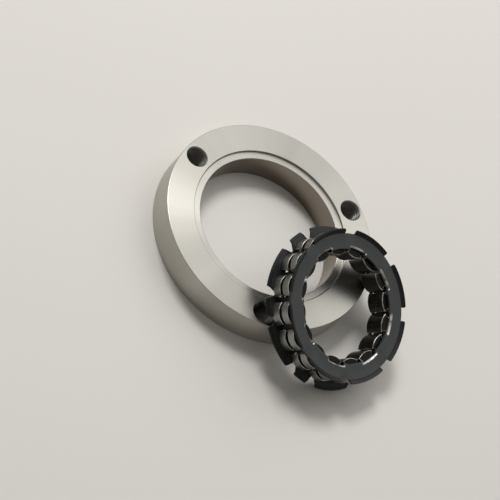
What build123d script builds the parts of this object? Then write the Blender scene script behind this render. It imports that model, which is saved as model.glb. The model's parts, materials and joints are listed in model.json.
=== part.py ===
from build123d import *
import os
from math import cos, radians, sin, sqrt

# A one-way clutch of the kind that couples a starter gear to an engine: a turned
# outer race, and a caged sprag unit that drops into its bore. They are modelled
# as a kit laid out on a bench, with the race flat and the unit leaning on its rim.
# Millimetres, origin on the race's axis at its lower face, +Z up, +X towards the unit.

# Outer race
race_radius = 43.0
race_height = 12.6
bore_radius = 28.97         # runs the outer ends of the sprags
seat_radius = 31.8          # shallow seat for the unit's tabbed flange
seat_depth = 1.0
rim_chamfer = 0.5
bolt_circle_radius = 37.75
bolt_count = 3
first_bolt_angle = 76.4
tap_radius = 3.35           # core of an M8 thread
mouth_radius = 4.4
mouth_depth = mouth_radius - tap_radius

# Sprags. Radii are from the unit's axis. While the unit is out of the race, its garter
# spring holds the sprags 0.8 mm further in than between the race and a 41.275 mm hub.
inner_end_radius = 19.84
sprag_count = 16
sprag_pitch = 360 / sprag_count
first_sprag_angle = 5.25
sprag_front = -1.6          # distances along the unit's axis, 0 at the front plate's face
sprag_rear = -9.8
outer_crest_radius = 28.08
outer_half_width = 4.2
inner_half_width = 3.7
outer_neck = (25.1, 2.6)     # radius and half width where the waist starts and ends
inner_neck = (22.2, 2.5)
outer_cam_radius = 5.6
inner_cam_radius = 7.0
cam_offset = 0.15           # the two cams are struck from centres this far to either side of the middle
slot_width = 1.4
slot_middle = -5.6
slot_floor = 25.2
spring_radius = 26.2
spring_coil_radius = 0.4

# Cages, pressed from sheet
cage_sheet = 0.7
weld = 0.2                  # how far a piece reaches into the one that it grows from
inner_cage_radius = 22.2
outer_cage_radius = 24.6
window_width = 7.4
window_play = 0.1
cage_rear = -11.4

# Front plate of the inner cage, notched round its hole and flared into lobes at its rim
plate_thickness = 0.9
plate_radius = 27.1
plate_hole_radius = 20.9
notch_radius = 22.1
notch_span = 21.5
first_notch_angle = 5.25
lobe_radius = 28.75
lobe_rise = 0.95
lobe_thickness = 0.6
lobe_span = 34.5
first_lobe_angle = 39.0
lobe_count = 8

# Flange at the front of the outer cage
front_flange_front = -1.0
front_flange_thickness = 0.5
front_flange_radius = 27.1

# Flange at the rear of the outer cage, its rim flared back and parted into tabs
flange_front = -9.9
flange_thickness = 0.7
flare_radius = 29.4
tab_radius = 30.6
flare_drop = 0.7
rim_height = 0.8
gap_floor_radius = 26.7
gap_floor_width = 1.1
gap_mouth_width = 6.9
gap_depth = 5.3
gap_angles = (17.0, 56.5)  # narrow tabs lie between the second and the next first
gap_pair_count = 6

# Where the unit leans
lean_angle = 23.6
bench_gap = 0.05
unit_reach = 42.0          # from the race's axis to the centre of the front plate's face

rim_rear = flange_front - flare_drop - rim_height
lowest_rim = tab_radius * sin(radians(lean_angle)) - rim_rear * cos(radians(lean_angle))
unit_plane = Plane(
    origin=(unit_reach, 0, lowest_rim + bench_gap),
    x_dir=(cos(radians(lean_angle)), 0, -sin(radians(lean_angle))),
    z_dir=(sin(radians(lean_angle)), 0, cos(radians(lean_angle))),
)


def polar(radius, angle):
    return (radius * cos(radians(angle)), radius * sin(radians(angle)))


def tube(outer, inner, top, bottom):
    """Plain ring between two heights."""
    blank = Circle(outer) - Circle(inner)
    return Pos(0, 0, bottom) * extrude(blank, amount=top - bottom)


def sector(outer, inner, span, angle, taper=0.0):
    """Flat piece of a ring, centred on an angle and narrower inside by the taper."""
    half = span / 2
    root = half - taper / 2
    edge = Polyline(polar(inner, angle + root), polar(outer, angle + half))
    rim = ThreePointArc(polar(outer, angle + half), polar(outer, angle), polar(outer, angle - half))
    back = Polyline(polar(outer, angle - half), polar(inner, angle - root))
    floor = ThreePointArc(polar(inner, angle - root), polar(inner, angle), polar(inner, angle + root))
    return make_face(Curve() + [edge, rim, back, floor])


def outer_race():
    """Turned ring with a plain bore, a shallow seat at the top and three tapped holes."""
    seat_floor = race_height - seat_depth
    outline = Polyline(
        (bore_radius, 0),
        (race_radius - rim_chamfer, 0),
        (race_radius, rim_chamfer),
        (race_radius, race_height - rim_chamfer),
        (race_radius - rim_chamfer, race_height),
        (seat_radius, race_height),
        (seat_radius, seat_floor),
        (bore_radius, seat_floor),
        close=True,
    )
    race = revolve(Plane.XZ * make_face(outline), Axis.Z)
    for number in range(bolt_count):
        centre = polar(bolt_circle_radius, first_bolt_angle + number * 360 / bolt_count)
        race -= Pos(*centre, race_height / 2) * Cylinder(tap_radius, race_height)
        race -= Pos(*centre, race_height - mouth_depth / 2) * Cone(tap_radius, mouth_radius, mouth_depth)
    return race


def windowed_hoop(inner, front, rear):
    """Sheet-metal hoop with one window for each sprag."""
    hoop = tube(inner + cage_sheet, inner, front, rear)
    length = sprag_front - sprag_rear + 2 * window_play
    middle = (sprag_front + sprag_rear) / 2
    window = Pos(inner + cage_sheet / 2, 0, middle) * Box(4 * cage_sheet, window_width, length)
    for number in range(sprag_count):
        hoop -= Rot(0, 0, first_sprag_angle + number * sprag_pitch) * window
    return hoop


def inner_cage():
    return windowed_hoop(inner_cage_radius, -plate_thickness, cage_rear)


def front_plate():
    """Washer that closes the front: notches round its hole, lobes flared forward at its rim."""
    plate = tube(plate_radius, plate_hole_radius, 0, -plate_thickness)
    section = Polyline(
        (plate_radius - weld, 0),
        (plate_radius, 0),
        (lobe_radius, lobe_rise),
        (lobe_radius, lobe_rise - lobe_thickness),
        (plate_radius, -plate_thickness),
        (plate_radius - weld, -plate_thickness),
        close=True,
    )
    lobe = revolve(Plane.XZ * make_face(section), Axis.Z, lobe_span)
    for number in range(lobe_count):
        turn = number * 360 / lobe_count
        plate += Rot(0, 0, first_lobe_angle - lobe_span / 2 + turn) * lobe
        notch = sector(notch_radius, plate_hole_radius - weld, notch_span, first_notch_angle + turn)
        plate -= Pos(0, 0, -plate_thickness) * extrude(notch, amount=plate_thickness)
    return plate


def outer_cage():
    """Windowed hoop with a narrow flange at the front."""
    hole_radius = outer_cage_radius + cage_sheet
    rear = front_flange_front - front_flange_thickness
    flange = tube(front_flange_radius, hole_radius, front_flange_front, rear)
    return windowed_hoop(outer_cage_radius, front_flange_front, cage_rear) + flange


def rear_flange():
    """Washer pressed on to the rear of the outer cage, its rim parted into wide and narrow tabs."""
    hole_radius = outer_cage_radius + cage_sheet
    flange_rear = flange_front - flange_thickness
    slope = (rim_height + flare_drop - flange_thickness) / (tab_radius - flare_radius)
    section = Polyline(
        (hole_radius, flange_front),
        (flare_radius, flange_front),
        (tab_radius, flange_front - flare_drop),
        (tab_radius, rim_rear),
        (flare_radius, rim_rear + slope * (tab_radius - flare_radius)),
        (hole_radius, flange_rear),
        close=True,
    )
    flange = revolve(Plane.XZ * make_face(section), Axis.Z)
    gap = Polyline(
        (gap_floor_radius, -gap_floor_width / 2),
        (gap_floor_radius + gap_depth, -gap_mouth_width / 2),
        (gap_floor_radius + gap_depth, gap_mouth_width / 2),
        (gap_floor_radius, gap_floor_width / 2),
        close=True,
    )
    cutter = Pos(0, 0, rim_rear - weld) * extrude(make_face(gap), amount=flange_front - rim_rear + 2 * weld)
    for first in gap_angles:
        for number in range(gap_pair_count):
            flange -= Rot(0, 0, first + number * 360 / gap_pair_count) * cutter
    return flange


def garter_spring():
    """Coil spring closed into a ring, drawn as the four-sided tube that its turns fill."""
    section = Plane.XZ * Pos(spring_radius, slot_middle) * RegularPolygon(spring_coil_radius, 4)
    return revolve(section, Axis.Z)


def cam_height(radius, side, offset):
    """How far a cam's edge at the given side lies beyond the cam's centre."""
    return sqrt(radius**2 - (side - offset) ** 2)


def sprag():
    """Dog-bone wedge between the races, with a slot for the garter spring."""
    outer_centre = outer_crest_radius - outer_cam_radius
    inner_centre = inner_end_radius + inner_cam_radius
    outer_left, outer_right = (
        (outer_centre + cam_height(outer_cam_radius, side, cam_offset), side)
        for side in (outer_half_width, -outer_half_width)
    )
    inner_left, inner_right = (
        (inner_centre - cam_height(inner_cam_radius, side, -cam_offset), side)
        for side in (inner_half_width, -inner_half_width)
    )
    necks = (outer_neck, inner_neck)
    outline = Curve() + [
        ThreePointArc(outer_right, (outer_crest_radius, cam_offset), outer_left),
        Polyline(outer_left, *necks, inner_left),
        ThreePointArc(inner_left, (inner_end_radius, -cam_offset), inner_right),
        Polyline(outer_right, *((radius, -side) for radius, side in necks), inner_right),
    ]
    body = Pos(0, 0, sprag_rear) * extrude(make_face(outline), amount=sprag_front - sprag_rear)
    slot = Box(2 * (outer_crest_radius - slot_floor), 2 * outer_half_width, slot_width)
    return body - Pos(outer_crest_radius, 0, slot_middle) * slot


def build():
    pieces = {
        "inner_cage": inner_cage(),
        "front_plate": front_plate(),
        "outer_cage": outer_cage(),
        "rear_flange": rear_flange(),
        "garter_spring": garter_spring(),
    }
    wedge = sprag()
    for number in range(sprag_count):
        name = f"sprag_{number + 1:02d}"
        pieces[name] = Rot(0, 0, first_sprag_angle + number * sprag_pitch) * wedge
    placed = {name: unit_plane.location * piece for name, piece in pieces.items()}
    placed["outer_race"] = outer_race()
    return placed


if __name__ == "__main__":
    os.makedirs("parts", exist_ok=True)
    for name, piece in build().items():
        export_step(piece, f"parts/{name}.step")
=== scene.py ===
import json
from math import atan2, cos, degrees, hypot, pi, radians, sin, sqrt, tau

import bmesh
import bpy
from mathutils import Matrix, Quaternion, Vector

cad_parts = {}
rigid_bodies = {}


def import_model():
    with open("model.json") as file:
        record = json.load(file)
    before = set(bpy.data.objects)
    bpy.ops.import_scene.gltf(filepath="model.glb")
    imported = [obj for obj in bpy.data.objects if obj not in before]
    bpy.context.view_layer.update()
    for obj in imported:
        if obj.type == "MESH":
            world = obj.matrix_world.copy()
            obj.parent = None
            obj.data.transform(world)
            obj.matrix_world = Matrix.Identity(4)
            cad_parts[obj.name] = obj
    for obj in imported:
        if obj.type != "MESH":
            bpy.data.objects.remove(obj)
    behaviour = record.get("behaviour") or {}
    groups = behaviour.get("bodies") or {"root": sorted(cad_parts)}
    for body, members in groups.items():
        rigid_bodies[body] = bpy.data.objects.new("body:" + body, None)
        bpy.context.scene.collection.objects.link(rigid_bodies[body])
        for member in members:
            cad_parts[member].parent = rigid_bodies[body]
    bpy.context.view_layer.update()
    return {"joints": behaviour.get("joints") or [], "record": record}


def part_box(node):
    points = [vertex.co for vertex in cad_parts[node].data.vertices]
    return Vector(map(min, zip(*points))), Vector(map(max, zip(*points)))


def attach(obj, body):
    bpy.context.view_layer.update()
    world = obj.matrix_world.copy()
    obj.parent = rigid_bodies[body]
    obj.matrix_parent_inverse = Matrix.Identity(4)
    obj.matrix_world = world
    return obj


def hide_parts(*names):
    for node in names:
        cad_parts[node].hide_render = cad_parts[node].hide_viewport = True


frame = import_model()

mm = 0.001


def jointNamed(name):
    return next(joint for joint in frame["joints"] if joint["name"] == name)


def mountNamed(name):
    return next(mount for mount in frame["record"]["mounts"] if mount["name"] == name)


# The unit is modelled upright, with z along its axis and 0 at the front plate's face,
# and x pointing straight down the lean. This matrix takes it to where it leans.
unitAxis = Vector(jointNamed("cage_turn")["axis"]).normalized()
unitCentre = Vector(jointNamed("cage_turn")["pos_m"])
unitSide = Vector((0, 1, 0))
unitDown = unitSide.cross(unitAxis)
unitTurn = Matrix((unitDown, unitSide, unitAxis)).transposed()
unitMatrix = Matrix.Translation(unitCentre) @ unitTurn.to_4x4()

sheetSides = 240  # steps of 1.5 degrees, so that every window, notch and lobe ends on a step
halfStep = 180 / sheetSides


def clearSelection():
    if bpy.context.mode != "OBJECT":
        bpy.ops.object.mode_set(mode="OBJECT")
    bpy.ops.object.select_all(action="DESELECT")


def openPiece(name):
    # names the primitive just added, applies its place and opens it in edit mode
    piece = bpy.context.active_object
    piece.name = name
    piece.data.name = name
    bpy.ops.object.transform_apply(location=True, rotation=True, scale=True)
    bpy.ops.object.mode_set(mode="EDIT")
    return piece


def middleOf(item):
    if isinstance(item, bmesh.types.BMVert):
        return item.co
    if isinstance(item, bmesh.types.BMEdge):
        return (item.verts[0].co + item.verts[1].co) / 2
    return item.calc_center_median()


def pick(kind, test):
    # selects the verts, edges or faces of the open mesh that pass the test
    bpy.ops.mesh.select_mode(type=kind)
    bpy.ops.mesh.select_all(action="DESELECT")
    data = bpy.context.edit_object.data
    mesh = bmesh.from_edit_mesh(data)
    for item in {"VERT": mesh.verts, "EDGE": mesh.edges, "FACE": mesh.faces}[kind]:
        if test(item):
            item.select = True
    mesh.select_flush_mode()
    bmesh.update_edit_mesh(data)


def radiusAt(item):
    middle = middleOf(item)
    return hypot(middle.x, middle.y)


def heightAt(item):
    return middleOf(item).z


def angleAt(item):
    middle = middleOf(item)
    return degrees(atan2(middle.y, middle.x)) % 360


def near(value, wanted, slack=0.05 * mm):
    return abs(value - wanted) < slack


def facesUp(face):
    return face.normal.z > 0.9


def facesDown(face):
    return face.normal.z < -0.9


def facesSide(face):
    return abs(face.normal.z) < 0.3


def facesIn(face):
    # true for a face that looks towards the z axis
    middle = middleOf(face)
    return face.normal.dot(Vector((middle.x, middle.y, 0)).normalized()) < -0.8


def inPattern(item, first, pitch, span):
    return abs((angleAt(item) - first + pitch / 2) % pitch - pitch / 2) < span / 2


def pushOut(factor):
    bpy.ops.transform.resize(value=(factor, factor, 1), center_override=(0, 0, 0))


def extrudeOut(start, stop):
    bpy.ops.mesh.extrude_edges_indiv()
    pushOut(stop / start)


def extrudeUp(start, stop):
    bpy.ops.mesh.extrude_edges_indiv()
    bpy.ops.transform.translate(value=(0, 0, stop - start))


def addModifier(piece, kind, **settings):
    clearSelection()
    bpy.context.view_layer.objects.active = piece
    piece.select_set(True)
    modifier = piece.modifiers.new(kind.lower(), kind)
    for key, value in settings.items():
        setattr(modifier, key, value)
    bpy.ops.object.modifier_apply(modifier=modifier.name)


def smooth(piece, angle=32):
    # smooth shading that leaves the flat faces flat
    clearSelection()
    bpy.context.view_layer.objects.active = piece
    piece.select_set(True)
    bpy.ops.object.shade_smooth_by_angle(angle=radians(angle))
    addModifier(piece, "WEIGHTED_NORMAL", keep_sharp=True, weight=100)


def breakEdges(piece, shape, leastAngle=40, **more):
    # rounds every edge whose faces turn by more than the least angle
    addModifier(piece, "BEVEL", width=shape["edgeBreak"], segments=shape["edgeSteps"],
                limit_method="ANGLE", angle_limit=radians(leastAngle), **more)


def cut(piece, cutter):
    addModifier(piece, "BOOLEAN", object=cutter, operation="DIFFERENCE", solver="EXACT")
    bpy.data.objects.remove(cutter)


def place(piece, body, nodes, matrix=None):
    # puts the mesh where it belongs, leaves the object at the origin and ties it to its body
    clearSelection()
    if matrix:
        piece.data.transform(matrix)
    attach(piece, body)
    if nodes:
        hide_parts(*nodes)


def colour(code):
    # an sRGB hex colour as the linear values that sockets take
    channels = [int(code[start:start + 2], 16) / 255 for start in (1, 3, 5)]
    linear = [part / 12.92 if part <= 0.04045 else ((part + 0.055) / 1.055) ** 2.4 for part in channels]
    return (*linear, 1)


def addNode(tree, kind, inputs=None, **settings):
    node = tree.nodes.new("ShaderNode" + kind)
    for name, value in settings.items():
        setattr(node, name, value)
    for name, value in (inputs or {}).items():
        if isinstance(value, bpy.types.NodeSocket):
            tree.links.new(value, node.inputs[name])
        else:
            node.inputs[name].default_value = value
    return node


def startMaterial(name):
    material = bpy.data.materials.new(name)
    material.use_nodes = True
    tree = material.node_tree
    tree.nodes.clear()
    return material, tree


def finishMaterial(tree, **inputs):
    named = {name.replace("_", " "): value for name, value in inputs.items()}
    shader = addNode(tree, "BsdfPrincipled", named)
    addNode(tree, "OutputMaterial", {"Surface": shader.outputs["BSDF"]})


def mottle(tree, patch, dark, light, smoothest, roughest, detail=3.0):
    # two colours in soft patches of the given size, and a roughness that follows them
    coords = addNode(tree, "TexCoord").outputs["Object"]
    noise = addNode(tree, "TexNoise", {"Vector": coords, "Scale": 1 / patch, "Detail": detail})
    cloud = noise.outputs["Fac"]
    shade = addNode(tree, "Mix", {"Factor": cloud, "A": colour(dark), "B": colour(light)}, data_type="RGBA")
    rough = addNode(tree, "MapRange", {"Value": cloud, "To Min": smoothest, "To Max": roughest})
    return {"Base_Color": shade.outputs["Result"], "Roughness": rough.outputs["Result"]}


def dimple(tree, grit, strength, detail):
    # the fine tooth that the coating bath leaves, 0.01 mm deep. Its grains are smaller than
    # 0.05 mm and are drawn coarser so that they show.
    coords = addNode(tree, "TexCoord").outputs["Object"]
    grain = addNode(tree, "TexNoise", {"Vector": coords, "Scale": 1 / grit, "Detail": detail})
    bump = addNode(tree, "Bump", {"Height": grain.outputs["Fac"], "Strength": strength,
                                  "Distance": 0.01 * mm})
    return bump.outputs["Normal"]


def turnedSteel():
    # bearing steel, faced and bored on a lathe: satin, with a soft fan of light across the face and faint
    # spokes of painted sheen
    material, tree = startMaterial("turned steel")
    split = addNode(tree, "SeparateXYZ", {"Vector": addNode(tree, "TexCoord").outputs["Object"]})
    flat = addNode(tree, "CombineXYZ", {"X": split.outputs["X"], "Y": split.outputs["Y"]}).outputs["Vector"]
    radius = addNode(tree, "VectorMath", {"Vector": flat}, operation="LENGTH")
    along = addNode(tree, "Math", {0: radius.outputs["Value"], 1: split.outputs["Z"]}, operation="ADD")
    # feed marks are about 0.1 mm apart, drawn at 0.4 mm so that they show
    marks = addNode(tree, "TexNoise", {"W": along.outputs["Value"], "Scale": 1 / (0.4 * mm), "Detail": 3.0},
                    noise_dimensions="1D").outputs["Fac"]
    bump = addNode(tree, "Bump", {"Height": marks, "Strength": 0.35, "Distance": 0.006 * mm})
    # painted sheen: faint lighter and darker spokes in the colour, about twelve round the ring
    outward = addNode(tree, "VectorMath", {"Vector": flat}, operation="NORMALIZE").outputs["Vector"]
    paintedSheenSpokes = addNode(tree, "TexNoise", {"Vector": outward, "Scale": 12 / tau, "Detail": 5.0})
    shade = addNode(tree, "Mix", {"Factor": paintedSheenSpokes.outputs["Fac"], "A": colour("#A3A098"),
                                  "B": colour("#CAC7BF")}, data_type="RGBA")
    rough = addNode(tree, "MapRange", {"Value": marks, "To Min": 0.34, "To Max": 0.42})
    tangent = addNode(tree, "Tangent", direction_type="RADIAL", axis="Z")
    finishMaterial(tree, Base_Color=shade.outputs["Result"], Metallic=1.0,
                   Roughness=rough.outputs["Result"], Anisotropic=0.62, Anisotropic_Rotation=0.25,
                   Normal=bump.outputs["Normal"], Tangent=tangent.outputs["Tangent"])
    return material


def groundBoreWithPaintedReflection():
    # the sprags' running surface, ground after hardening, with a painted dark brown reflection: darker and
    # browner than the faces
    material, tree = startMaterial("ground bore with painted reflection")
    finishMaterial(tree, Metallic=1.0, **mottle(tree, 9 * mm, "#857C71", "#948B80", 0.2, 0.28))
    return material


def holeWallInPaintedShade():
    # the wall of a tapped hole, in painted shade: almost black
    material, tree = startMaterial("hole wall in painted shade")
    finishMaterial(tree, Metallic=1.0, **mottle(tree, 1.5 * mm, "#201F1E", "#383633", 0.22, 0.36))
    return material


def threadInPaintedShade():
    # the ridges that the tap left, in painted shade that is lighter than the wall's: dull grey lines in a
    # dark hole
    material, tree = startMaterial("cut thread in painted shade")
    finishMaterial(tree, Metallic=1.0, **mottle(tree, 1.5 * mm, "#5A5854", "#8C8A84", 0.3, 0.42))
    return material


def blackOxide():
    # pressed sheet, blackened in a hot salt bath: near black with a soft oily sheen
    material, tree = startMaterial("black oxide sheet")
    finishMaterial(tree, Metallic=0.0, IOR=1.5, Normal=dimple(tree, 0.5 * mm, 0.25, 3.0),
                   **mottle(tree, 6 * mm, "#181918", "#242524", 0.34, 0.5, 2.0))
    return material


def oxideInPaintedShade():
    # the same black oxide, painted a deeper black as shade on the lobes, the flared rims and the sprags'
    # end faces
    material, tree = startMaterial("black oxide in painted shade")
    finishMaterial(tree, Metallic=0.0, IOR=1.4, **mottle(tree, 4 * mm, "#0B0C0B", "#161716", 0.3, 0.42))
    return material


def phosphatedSheet():
    # flat sheet with a manganese phosphate coat: matt, blue-grey, faintly mottled
    material, tree = startMaterial("phosphated sheet")
    finishMaterial(tree, Metallic=0.0, IOR=1.5, Normal=dimple(tree, 0.4 * mm, 0.3, 4.0),
                   **mottle(tree, 5 * mm, "#3A3D3C", "#454847", 0.5, 0.62))
    return material


def paintedHighlightEdge():
    # painted highlights along broken edges: pale and satin, in uneven lengths
    material, tree = startMaterial("steel edge with painted highlight")
    coords = addNode(tree, "TexCoord").outputs["Object"]
    noise = addNode(tree, "TexNoise", {"Vector": coords, "Scale": 1 / (2.5 * mm), "Detail": 3.0})
    highlightNoise = noise.outputs["Fac"]
    highlightAmount = addNode(tree, "MapRange", {"Value": highlightNoise, "From Min": 0.38, "From Max": 0.6}).outputs["Result"]
    shade = addNode(tree, "Mix", {"Factor": highlightAmount, "A": colour("#87847E"), "B": colour("#E6E2DA")},
                    data_type="RGBA")
    rough = addNode(tree, "MapRange", {"Value": highlightNoise, "To Min": 0.3, "To Max": 0.45})
    finishMaterial(tree, Base_Color=shade.outputs["Result"], Metallic=0.5,
                   Roughness=rough.outputs["Result"])
    return material


def hardenedSteel():
    # drawn bearing steel, hardened and tumbled: mid grey with a soft gleam
    material, tree = startMaterial("hardened sprag steel")
    finishMaterial(tree, Metallic=1.0, **mottle(tree, 2.5 * mm, "#8C8D8A", "#A0A19D", 0.3, 0.42))
    return material


def innerCamInPaintedShade():
    # the cam that rides on the hub, in painted shade: darker than the sprag's outer head
    material, tree = startMaterial("inner cam in painted shade")
    finishMaterial(tree, Metallic=1.0, **mottle(tree, 2.5 * mm, "#454441", "#575652", 0.24, 0.34))
    return material


def springWireInPaintedShade():
    # music wire, wound close, painted dark as the shade in the sprags' slots, with a small glint on every
    # turn
    material, tree = startMaterial("oiled spring wire")
    finishMaterial(tree, Metallic=1.0, **mottle(tree, 3 * mm, "#2E2C29", "#45423D", 0.28, 0.4, 2.0))
    return material


finishes = {
    "race": turnedSteel(),
    "bore": groundBoreWithPaintedReflection(),
    "shadedHoleWall": holeWallInPaintedShade(),
    "thread": threadInPaintedShade(),
    "cage": blackOxide(),
    "paintedShadeOxide": oxideInPaintedShade(),
    "plate": phosphatedSheet(),
    "edge": paintedHighlightEdge(),
    "sprag": hardenedSteel(),
    "innerCam": innerCamInPaintedShade(),
    "spring": springWireInPaintedShade(),
}


def dress(piece, *names):
    piece.data.materials.clear()
    for name in names:
        piece.data.materials.append(finishes[name])


def refinish(piece, test, number=1):
    # gives the faces that pass the test another of the piece's finishes
    clearSelection()
    bpy.context.view_layer.objects.active = piece
    piece.select_set(True)
    bpy.ops.object.mode_set(mode="EDIT")
    pick("FACE", test)
    piece.active_material_index = number
    bpy.ops.object.material_slot_assign()
    clearSelection()


# Outer race: a turned ring with a shallow seat and three tapped holes.
raceShape = {
    "sides": 240,
    "seatRadius": 31.8 * mm,
    "seatDepth": 1.0 * mm,
    "edgeBreak": 0.3 * mm,
    "edgeSteps": 3,
    "firstBolt": 76.4,
    "mouthRadius": 4.4 * mm,
    "holeMargin": 1.0 * mm,  # the holes' walls lie at least this far inside the ring
    "rootRadius": 4.0 * mm,  # an M8 thread: root 8 mm across, 1.25 mm from crest to crest
    "threadPitch": 1.25 * mm,
    "threadSteps": 40,
    "ridgeHalf": 0.48,  # of the pitch, so that the turns of the ridge don't touch
    "ridgeGap": 0.2 * mm,  # from the end of the ridge to the countersink
}


def makeRace():
    shape = raceShape
    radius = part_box("outer_race")[1][0]
    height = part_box("outer_race")[1][2]
    bore = mountNamed("race_bore")["dims"]["r_mm"] * mm
    clearSelection()
    bpy.ops.mesh.primitive_cylinder_add(vertices=shape["sides"], radius=radius, depth=height,
                                        location=(0, 0, height / 2))
    race = openPiece("race_body")
    pick("FACE", facesUp)
    bpy.ops.mesh.inset(thickness=radius - shape["seatRadius"])
    bpy.ops.mesh.extrude_region_move(TRANSFORM_OT_translate={"value": (0, 0, -shape["seatDepth"])})
    bpy.ops.mesh.inset(thickness=shape["seatRadius"] - bore)
    bpy.ops.mesh.delete(type="FACE")
    pick("FACE", facesDown)
    bpy.ops.mesh.inset(thickness=radius - bore)
    bpy.ops.mesh.delete(type="FACE")
    pick("EDGE", lambda edge: edge.is_boundary)
    bpy.ops.mesh.bridge_edge_loops()
    breakEdges(race, shape)
    bolts = mountNamed("race_bolts")["dims"]
    for number in range(bolts["count"]):
        angle = radians(shape["firstBolt"] + number * 360 / bolts["count"])
        centre = Vector((cos(angle), sin(angle), 0)) * bolts["pcd_mm"] / 2 * mm
        cut(race, makeDrill(centre, height))
        thread = makeThread(f"race_thread_{number + 1}", height, bolts["hole_r_mm"] * mm)
        place(thread, "outer_race", [], Matrix.Translation(centre))
    dress(race, "race", "bore", "shadedHoleWall")
    margin = shape["holeMargin"]
    # the bore takes the painted dark brown reflection
    refinish(race, lambda face: facesSide(face) and radiusAt(face) < bore + shape["edgeBreak"])
    # the holes' walls take the painted shade
    refinish(race, lambda face: facesSide(face) and bore + margin < radiusAt(face) < radius - margin
        and not near(radiusAt(face), shape["seatRadius"], shape["edgeBreak"]), 2)
    smooth(race)
    place(race, "outer_race", ["outer_race"])


def makeDrill(centre, height):
    # as wide as the thread's root, with a 45-degree countersink that runs on past the top face
    shape = raceShape
    sink = shape["mouthRadius"] - shape["rootRadius"]
    clearSelection()
    bpy.ops.mesh.primitive_cylinder_add(vertices=shape["threadSteps"], radius=shape["rootRadius"],
                                        depth=height, location=(0, 0, height / 2 - sink))
    drill = openPiece("drill")
    pick("FACE", facesUp)
    bpy.ops.mesh.extrude_region_move(TRANSFORM_OT_translate={"value": (0, 0, 2 * sink)})
    pushOut((shape["mouthRadius"] + sink) / shape["rootRadius"])
    clearSelection()
    drill.data.transform(Matrix.Translation(centre))
    return drill


def makeThread(name, height, core):
    # a triangular ridge wound up the wall of a hole, cut back at both ends
    shape = raceShape
    depth = shape["rootRadius"] - core
    turns = int(height / shape["threadPitch"]) + 1
    clearSelection()
    bpy.ops.mesh.primitive_circle_add(vertices=3, radius=depth, rotation=(pi / 2, 0, 0),
                                      location=(shape["rootRadius"], 0, 0))
    thread = openPiece(name)
    bpy.ops.mesh.select_all(action="SELECT")
    bpy.ops.transform.rotate(value=pi / 2, orient_axis="Y", center_override=(shape["rootRadius"], 0, 0))
    pick("VERT", lambda vert: vert.co.x > shape["rootRadius"])
    spread = max(vert.co.z for vert in bmesh.from_edit_mesh(thread.data).verts)
    bpy.ops.mesh.select_all(action="SELECT")
    squash = shape["ridgeHalf"] * shape["threadPitch"] / spread
    bpy.ops.transform.resize(value=(1, 1, squash), center_override=(0, 0, 0))
    addModifier(thread, "SCREW", angle=tau, screw_offset=shape["threadPitch"], iterations=turns, axis="Z",
                steps=shape["threadSteps"], render_steps=shape["threadSteps"], use_normal_calculate=True)
    bpy.ops.object.mode_set(mode="EDIT")
    pick("EDGE", lambda edge: edge.is_boundary)
    bpy.ops.mesh.edge_face_add()
    bpy.ops.mesh.select_all(action="SELECT")
    bpy.ops.mesh.normals_make_consistent(inside=False)
    # each cone starts this far inside the end face, and is long enough to take off all beyond it
    sink = shape["mouthRadius"] - core + shape["ridgeGap"]
    length = 3 * sink
    for end, turn in ((height, 0), (0, pi)):
        clearSelection()
        bpy.ops.mesh.primitive_cone_add(vertices=shape["threadSteps"], radius1=core, radius2=core + length,
                                        depth=length, location=(0, 0, end + cos(turn) * sink / 2),
                                        rotation=(turn, 0, 0))
        bpy.ops.object.transform_apply(location=True, rotation=True, scale=True)
        cut(thread, bpy.context.active_object)
    smooth(thread, angle=20)
    return thread


makeRace()
print("outer race and its threads are modelled")


# Both cages are windowed hoops of pressed sheet, drawn as a middle surface and thickened. The
# hoops' radii are to the middle of the sheet, and the windows' widths are in degrees.
cageShape = {
    "sheet": 0.55 * mm,
    "edgeBreak": 0.1 * mm,
    "edgeSteps": 2,
    "windowFront": -1.5 * mm,
    "windowRear": -9.9 * mm,
    "rear": -11.4 * mm,
    "firstWindow": 5.25,
    "windowPitch": 22.5,
    "innerRadius": 22.55 * mm,
    "innerFront": -0.9 * mm,
    "innerWindow": 19.5,
    "outerRadius": 24.95 * mm,
    "outerWindow": 18,
    "flangeMiddle": -1.25 * mm,
    "flangeRadius": 27.1 * mm,
}


def startHoop(name, radius, height, turn=0.0):
    # an open ring of edges, from which sheet metal is drawn
    clearSelection()
    bpy.ops.mesh.primitive_circle_add(vertices=sheetSides, radius=radius, location=(0, 0, height),
                                      rotation=(0, 0, radians(turn)))
    piece = openPiece(name)
    bpy.ops.mesh.select_all(action="SELECT")
    return piece


def cutWindows(span):
    shape = cageShape
    pick("FACE", lambda face: shape["windowRear"] < heightAt(face) < shape["windowFront"]
         and inPattern(face, shape["firstWindow"], shape["windowPitch"], span))
    bpy.ops.mesh.delete(type="FACE")


def thicken(piece, thickness, **solid):
    bpy.ops.mesh.select_all(action="SELECT")
    bpy.ops.mesh.normals_make_consistent(inside=False)
    addModifier(piece, "SOLIDIFY", thickness=thickness, offset=0, use_even_offset=True, **solid)


def makeInnerCage():
    shape = cageShape
    cage = startHoop("inner_cage_hoop", shape["innerRadius"], shape["innerFront"])
    extrudeUp(shape["innerFront"], shape["windowFront"])
    extrudeUp(shape["windowFront"], shape["windowRear"])
    extrudeUp(shape["windowRear"], shape["rear"])
    cutWindows(shape["innerWindow"])
    thicken(cage, shape["sheet"])
    dress(cage, "cage", "edge")
    # the inner face of the hoop's front band takes painted highlights
    refinish(cage, lambda face: facesIn(face) and heightAt(face) > shape["windowFront"])
    breakEdges(cage, shape)
    smooth(cage)
    place(cage, "inner_cage", ["inner_cage"], unitMatrix)


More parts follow.
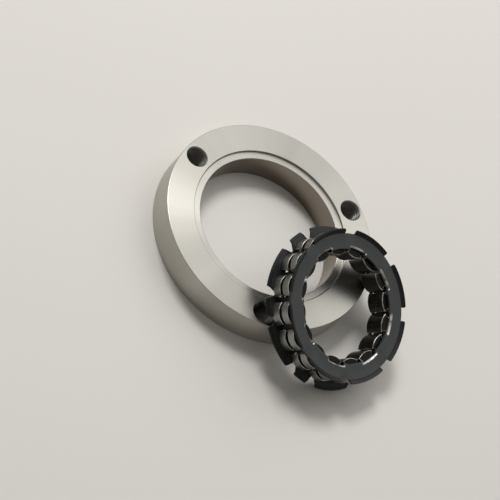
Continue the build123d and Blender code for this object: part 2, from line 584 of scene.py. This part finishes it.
def makeOuterCage():
    shape = cageShape
    cage = startHoop("outer_cage_hoop", shape["outerRadius"], shape["rear"], halfStep)
    extrudeUp(shape["rear"], shape["windowRear"])
    extrudeUp(shape["windowRear"], shape["windowFront"])
    extrudeUp(shape["windowFront"], shape["flangeMiddle"])
    extrudeOut(shape["outerRadius"], shape["flangeRadius"])
    cutWindows(shape["outerWindow"])
    thicken(cage, shape["sheet"])
    dress(cage, "cage")
    breakEdges(cage, shape)
    smooth(cage)
    place(cage, "outer_cage", ["outer_cage"], unitMatrix)


makeInnerCage()
makeOuterCage()
print("both cages are modelled")


# Front plate: a washer, notched round its hole, with lobes flared forward at its rim.
plateShape = {
    "sheet": 0.9 * mm,
    "edgeBreak": 0.14 * mm,
    "edgeSteps": 3,
    "radius": 27.1 * mm,
    "holeRadius": 21.3 * mm,
    "pitch": 45,
    "firstNotch": 5.25,
    "notchSpan": 21,
    "notchRadius": 22.1 * mm,
    "notchChamfer": 0.55 * mm,
    "firstLobe": 39,
    "lobeSpan": 34.5,
    "lobeRadius": 28.65 * mm,
    "lobeRise": 1.13 * mm,
    "lobeThinning": 0.6,  # of the sheet, at the lobes' rims
    "lobeCorner": 0.6 * mm,
    "lobeCornerSteps": 4,
}


def makeFrontPlate():
    shape = plateShape
    plate = startHoop("front_plate_sheet", shape["notchRadius"], -shape["sheet"] / 2, halfStep)
    extrudeOut(shape["notchRadius"], shape["radius"])
    pick("EDGE", lambda edge: near(radiusAt(edge), shape["notchRadius"])
         and not inPattern(edge, shape["firstNotch"], shape["pitch"], shape["notchSpan"]))
    extrudeOut(shape["notchRadius"], shape["holeRadius"])
    pick("EDGE", lambda edge: near(radiusAt(edge), shape["radius"])
         and inPattern(edge, shape["firstLobe"], shape["pitch"], shape["lobeSpan"]))
    extrudeOut(shape["radius"], shape["lobeRadius"])
    bpy.ops.transform.translate(value=(0, 0, shape["lobeRise"]))
    pick("VERT", lambda vert: near(radiusAt(vert), shape["lobeRadius"]) and len(vert.link_edges) == 2)
    bpy.ops.mesh.bevel(offset=shape["lobeCorner"], segments=shape["lobeCornerSteps"], affect="VERTICES")
    # the sheet keeps its thickness in the washer and thins towards the lobes' rims
    washerEnd = (shape["radius"] + shape["lobeRadius"]) / 2
    pick("VERT", lambda vert: radiusAt(vert) < washerEnd)
    bpy.ops.object.vertex_group_assign_new()
    thicken(plate, shape["sheet"], vertex_group="Group", thickness_vertex_group=shape["lobeThinning"])
    dress(plate, "plate", "edge", "paintedShadeOxide")
    # the lobes are painted a deeper black, as shade
    refinish(plate, lambda face: radiusAt(face) > shape["radius"], 2)
    # the notches' walls and chamfers take painted highlights
    refinish(plate, lambda face: facesIn(face) and near(radiusAt(face), shape["notchRadius"]))
    bpy.ops.object.mode_set(mode="EDIT")
    pick("EDGE", lambda edge: near(radiusAt(edge), shape["notchRadius"]) and near(heightAt(edge), 0)
         and inPattern(edge, shape["firstNotch"], shape["pitch"], shape["notchSpan"]))
    bpy.ops.mesh.bevel(offset=shape["notchChamfer"], segments=1, material=1)
    breakEdges(plate, shape)
    smooth(plate)
    place(plate, "inner_cage", ["front_plate"], unitMatrix)


makeFrontPlate()
print("front plate is modelled")


# Rear flange: a washer with its rim flared back, parted by splayed gaps into wide and narrow tabs.
flangeShape = {
    "sheet": 0.7 * mm,
    "edgeBreak": 0.13 * mm,
    "edgeSteps": 3,
    "middle": -10.25 * mm,
    "holeRadius": 25.45 * mm,
    "bendRadius": 29.25 * mm,
    "rimRadius": 30.45 * mm,
    "rimDrop": 0.7 * mm,
    "paintedShadeFrom": 29.45 * mm,  # faces beyond this radius are painted a deeper black, as shade
    "firstGap": 17.0,
    "secondGap": 56.5,
    "gapPitch": 60,
    "gapFloor": 26.7 * mm,
    "gapRoot": 1.1 * mm,
    "gapMouth": 6.9 * mm,
    "gapDepth": 5.3 * mm,
    "cutterHeight": 5 * mm,
}


def makeGapCutter(angle):
    shape = flangeShape
    middle = shape["gapFloor"] + shape["gapDepth"] / 2
    clearSelection()
    bpy.ops.mesh.primitive_cube_add(size=1, location=(middle, 0, shape["middle"]),
                                    scale=(shape["gapDepth"], shape["gapMouth"], shape["cutterHeight"]))
    cutter = openPiece("gap_cutter")
    pick("VERT", lambda vert: vert.co.x < middle)
    narrowing = shape["gapRoot"] / shape["gapMouth"]
    bpy.ops.transform.resize(value=(1, narrowing, 1), center_override=(0, 0, 0))
    clearSelection()
    cutter.data.transform(Matrix.Rotation(radians(angle), 4, "Z"))
    return cutter


def makeRearFlange():
    shape = flangeShape
    flange = startHoop("rear_flange_sheet", shape["holeRadius"], shape["middle"])
    extrudeOut(shape["holeRadius"], shape["bendRadius"])
    extrudeOut(shape["bendRadius"], shape["rimRadius"])
    bpy.ops.transform.translate(value=(0, 0, -shape["rimDrop"]))
    thicken(flange, shape["sheet"])
    for first in (shape["firstGap"], shape["secondGap"]):
        for number in range(360 // shape["gapPitch"]):
            cut(flange, makeGapCutter(first + number * shape["gapPitch"]))
    dress(flange, "cage", "paintedShadeOxide")
    # the flared rim is painted a deeper black, as shade
    refinish(flange, lambda face: radiusAt(face) > shape["paintedShadeFrom"])
    breakEdges(flange, shape)
    smooth(flange)
    place(flange, "outer_cage", ["rear_flange"], unitMatrix)


makeRearFlange()
print("rear flange is modelled")


# Sprags: dog-bone wedges with an eccentric cam at each end and a slot for the spring.
spragShape = {
    "count": 16,
    "first": 5.25,
    "front": -1.6 * mm,
    "rear": -9.8 * mm,
    "innerEnd": 19.1 * mm,
    "crestRadius": 28.08 * mm,
    "outerCam": 5.6 * mm,
    "innerCam": 7.0 * mm,
    "camOffset": 0.15 * mm,
    "outerHalf": 4.2 * mm,
    "innerHalf": 3.7 * mm,
    "waistRadius": 23.7 * mm,
    "waistHalf": 2.5 * mm,
    "paintedShadeRadius": 22.7 * mm,  # faces within this radius take the inner cam's painted shade
    "arcSteps": 20,
    "weldGap": 0.002 * mm,
    "edgeBreak": 0.22 * mm,
    "edgeSteps": 3,
    "slotMiddle": -5.6 * mm,
    "slotWidth": 1.4 * mm,
    "slotFloor": 25.2 * mm,
    "cutterReach": 10 * mm,
    "cutterSpan": 12 * mm,
}


def centreThrough(first, second, third):
    # the centre of the circle through three points
    (ax, ay), (bx, by), (cx, cy) = first, second, third
    area = 2 * (ax * (by - cy) + bx * (cy - ay) + cx * (ay - by))
    a, b, c = ax * ax + ay * ay, bx * bx + by * by, cx * cx + cy * cy
    x = (a * (by - cy) + b * (cy - ay) + c * (ay - by)) / area
    y = (a * (cx - bx) + b * (ax - cx) + c * (bx - ax)) / area
    return x, y


def sweep(centre, start, stop):
    # signed angle from start to stop about the centre, the short way round
    startAngle = atan2(start[1] - centre[1], start[0] - centre[0])
    stopAngle = atan2(stop[1] - centre[1], stop[0] - centre[0])
    return (stopAngle - startAngle + pi) % tau - pi


def spinTo(centre, start, stop, steps):
    # the operator turns clockwise for a positive angle
    bpy.ops.mesh.spin(steps=steps, angle=-sweep(centre, start, stop), center=(*centre, 0), axis=(0, 0, 1))


def makeSprag():
    shape = spragShape
    outerCentre = (shape["crestRadius"] - shape["outerCam"], shape["camOffset"])
    innerCentre = (shape["innerEnd"] + shape["innerCam"], -shape["camOffset"])

    def camCorner(centre, radius, side, facing):
        return centre[0] + facing * sqrt(radius ** 2 - (side - centre[1]) ** 2), side

    outerLeft = camCorner(outerCentre, shape["outerCam"], shape["outerHalf"], 1)
    outerRight = camCorner(outerCentre, shape["outerCam"], -shape["outerHalf"], 1)
    innerLeft = camCorner(innerCentre, shape["innerCam"], shape["innerHalf"], -1)
    innerRight = camCorner(innerCentre, shape["innerCam"], -shape["innerHalf"], -1)
    leftWaist = centreThrough(outerLeft, (shape["waistRadius"], shape["waistHalf"]), innerLeft)
    rightWaist = centreThrough(outerRight, (shape["waistRadius"], -shape["waistHalf"]), innerRight)

    # one upright edge at a corner is spun round the four arcs of the outline
    clearSelection()
    bpy.ops.mesh.primitive_plane_add(size=shape["front"] - shape["rear"], rotation=(0, pi / 2, 0))
    sprag = openPiece("sprag_wedge")
    pick("VERT", lambda vert: vert.co.y > 0)
    bpy.ops.mesh.delete(type="VERT")
    bpy.ops.mesh.select_all(action="SELECT")
    edgeY = bmesh.from_edit_mesh(sprag.data).verts[:][0].co.y
    middle = (shape["front"] + shape["rear"]) / 2
    bpy.ops.transform.translate(value=(outerRight[0], outerRight[1] - edgeY, middle))
    spinTo(outerCentre, outerRight, outerLeft, shape["arcSteps"])
    spinTo(leftWaist, outerLeft, innerLeft, shape["arcSteps"])
    spinTo(innerCentre, innerLeft, innerRight, shape["arcSteps"])
    spinTo(rightWaist, innerRight, outerRight, shape["arcSteps"])
    bpy.ops.mesh.select_all(action="SELECT")
    bpy.ops.mesh.remove_doubles(threshold=shape["weldGap"])
    for level in (shape["front"], shape["rear"]):
        pick("EDGE", lambda edge: edge.is_boundary and near(heightAt(edge), level))
        bpy.ops.mesh.edge_face_add()
    bpy.ops.mesh.select_all(action="SELECT")
    bpy.ops.mesh.normals_make_consistent(inside=False)
    cut(sprag, makeSlotCutter())
    dress(sprag, "sprag", "edge", "innerCam", "paintedShadeOxide")
    # the inner cam is painted darker, as shade
    refinish(sprag, lambda face: radiusAt(face) < shape["paintedShadeRadius"], 2)
    # the end faces are painted a deep black, as shade
    refinish(sprag, lambda face: facesUp(face) or facesDown(face), 3)
    # the broken edges take painted highlights
    breakEdges(sprag, shape, leastAngle=35, material=1)
    smooth(sprag)
    return sprag


def makeSlotCutter():
    shape = spragShape
    clearSelection()
    middle = (shape["slotFloor"] + shape["cutterReach"] / 2, 0, shape["slotMiddle"])
    bpy.ops.mesh.primitive_cube_add(size=1, location=middle,
                                    scale=(shape["cutterReach"], shape["cutterSpan"], shape["slotWidth"]))
    cutter = openPiece("slot_cutter")
    clearSelection()
    return cutter


def makeSprags():
    shape = spragShape
    wedge = makeSprag()
    for number in range(shape["count"]):
        node = f"sprag_{number + 1:02d}"
        copy = wedge.copy()
        copy.data = wedge.data.copy()
        copy.name = f"{node}_wedge"
        copy.data.name = copy.name
        bpy.context.collection.objects.link(copy)
        turn = Matrix.Rotation(radians(shape["first"] + number * 360 / shape["count"]), 4, "Z")
        place(copy, node, [node], unitMatrix @ turn)
    bpy.data.objects.remove(wedge)


makeSprags()
print(f"{spragShape['count']} sprags are modelled")


# Garter spring: a close coil of wire, bent round into a ring that lies in the sprags' slots.
springShape = {
    "ringRadius": 26.2 * mm,
    "coilRadius": 0.32 * mm,
    "wireRadius": 0.075 * mm,
    "wireSides": 5,
    "turns": 360,
    "stepsPerTurn": 10,
    "weldGap": 0.02 * mm,
}


def makeSpring():
    shape = springShape
    length = tau * shape["ringRadius"]
    clearSelection()
    bpy.ops.mesh.primitive_circle_add(vertices=shape["wireSides"], radius=shape["wireRadius"],
                                      location=(shape["coilRadius"], 0, 0), rotation=(pi / 2, 0, 0))
    spring = openPiece("garter_spring_coil")
    addModifier(spring, "SCREW", angle=tau, screw_offset=length / shape["turns"], iterations=shape["turns"],
                axis="Z", steps=shape["stepsPerTurn"], render_steps=shape["stepsPerTurn"])
    spring.data.transform(Matrix.Rotation(pi / 2, 4, "Y"))
    addModifier(spring, "SIMPLE_DEFORM", deform_method="BEND", deform_axis="Z", angle=tau)
    corners = [Vector(corner) for corner in spring.bound_box]
    middle = sum(corners, Vector()) / len(corners)
    spring.data.transform(Matrix.Translation((-middle.x, -middle.y, spragShape["slotMiddle"] - middle.z)))
    bpy.ops.object.mode_set(mode="EDIT")
    bpy.ops.mesh.select_all(action="SELECT")
    bpy.ops.mesh.remove_doubles(threshold=shape["weldGap"])
    bpy.ops.mesh.normals_make_consistent(inside=False)
    smooth(spring, angle=60)
    place(spring, "outer_cage", ["garter_spring"], unitMatrix)


makeSpring()
print("garter spring is modelled")


def dressAll():
    objects = bpy.data.objects
    for number in range(mountNamed("race_bolts")["dims"]["count"]):
        dress(objects[f"race_thread_{number + 1}"], "thread")
    dress(objects["garter_spring_coil"], "spring")
    slots = {"ground_steel": "race", "black_oxide_cage": "cage", "phosphated_plate": "plate",
             "hardened_sprag": "sprag", "spring_wire": "spring"}
    for part in frame["record"]["subparts"]:
        dress(objects[part["node"]], slots[part["material_slot"]])


dressAll()
print("every piece has its finish")


# Studio: a pale bench top, a soft sky and two soft lamps. Lengths are in metres, powers in watts.
studio = {
    "floorSize": 6,
    "floorColours": ("#E6E2DB", "#EAE7E1"),
    "skyColour": "#F2F0EC",
    "skyStrength": 0.25,
    "lamps": {
        "keyLamp": {"azimuth": 165, "elevation": 55, "distance": 1.2, "size": 0.35, "power": 7.0},
        "softLamp": {"azimuth": 106, "elevation": 51, "distance": 1.3, "size": 1.4, "power": 6.8},
    },
}

# The camera looks steeply down and is turned on its axis. Its lens and sensor are in millimetres.
cameraView = {
    "target": Vector((2.1, -4.8, 0)) * mm,
    "azimuth": -76.77,
    "elevation": 50.26,
    "distance": 1003.8 * mm,
    "roll": 45.5,
    "lens": 192.33,
    "sensor": 36,
    "farthest": 20,
}


def directionOf(azimuth, elevation):
    turn, rise = radians(azimuth), radians(elevation)
    return Vector((cos(turn) * cos(rise), sin(turn) * cos(rise), sin(rise)))


def addCamera():
    view = cameraView
    away = directionOf(view["azimuth"], view["elevation"])
    data = bpy.data.cameras.new("bench_camera")
    data.lens = view["lens"]
    data.sensor_width = view["sensor"]
    data.clip_end = view["farthest"]
    camera = bpy.data.objects.new("bench_camera", data)
    bpy.context.collection.objects.link(camera)
    camera.location = view["target"] + away * view["distance"]
    aim = (-away).to_track_quat("-Z", "Y") @ Quaternion((0, 0, 1), radians(view["roll"]))
    camera.rotation_euler = aim.to_euler()
    bpy.context.scene.camera = camera


def paintedTop():
    # matt emulsion on board, rolled on: pale, hardly mottled, equally rough all over
    material, tree = startMaterial("painted bench top")
    finishMaterial(tree, **mottle(tree, 300 * mm, *studio["floorColours"], 0.8, 0.8, 2.0))
    return material


def addStudio():
    clearSelection()
    bpy.ops.mesh.primitive_plane_add(size=studio["floorSize"])
    floor = openPiece("bench_top")
    clearSelection()
    floor.data.materials.append(paintedTop())
    world = bpy.data.worlds.new("studio_sky")
    world.use_nodes = True
    background = world.node_tree.nodes["Background"]
    background.inputs["Color"].default_value = colour(studio["skyColour"])
    background.inputs["Strength"].default_value = studio["skyStrength"]
    bpy.context.scene.world = world
    for name, lamp in studio["lamps"].items():
        data = bpy.data.lights.new(name, "AREA")
        data.size = lamp["size"]
        data.energy = lamp["power"]
        light = bpy.data.objects.new(name, data)
        bpy.context.collection.objects.link(light)
        away = directionOf(lamp["azimuth"], lamp["elevation"])
        light.location = away * lamp["distance"]
        light.rotation_euler = (-away).to_track_quat("-Z", "Y").to_euler()


addCamera()
addStudio()
bpy.context.scene.view_settings.view_transform = "Standard"
print("camera, bench and lamps are set")
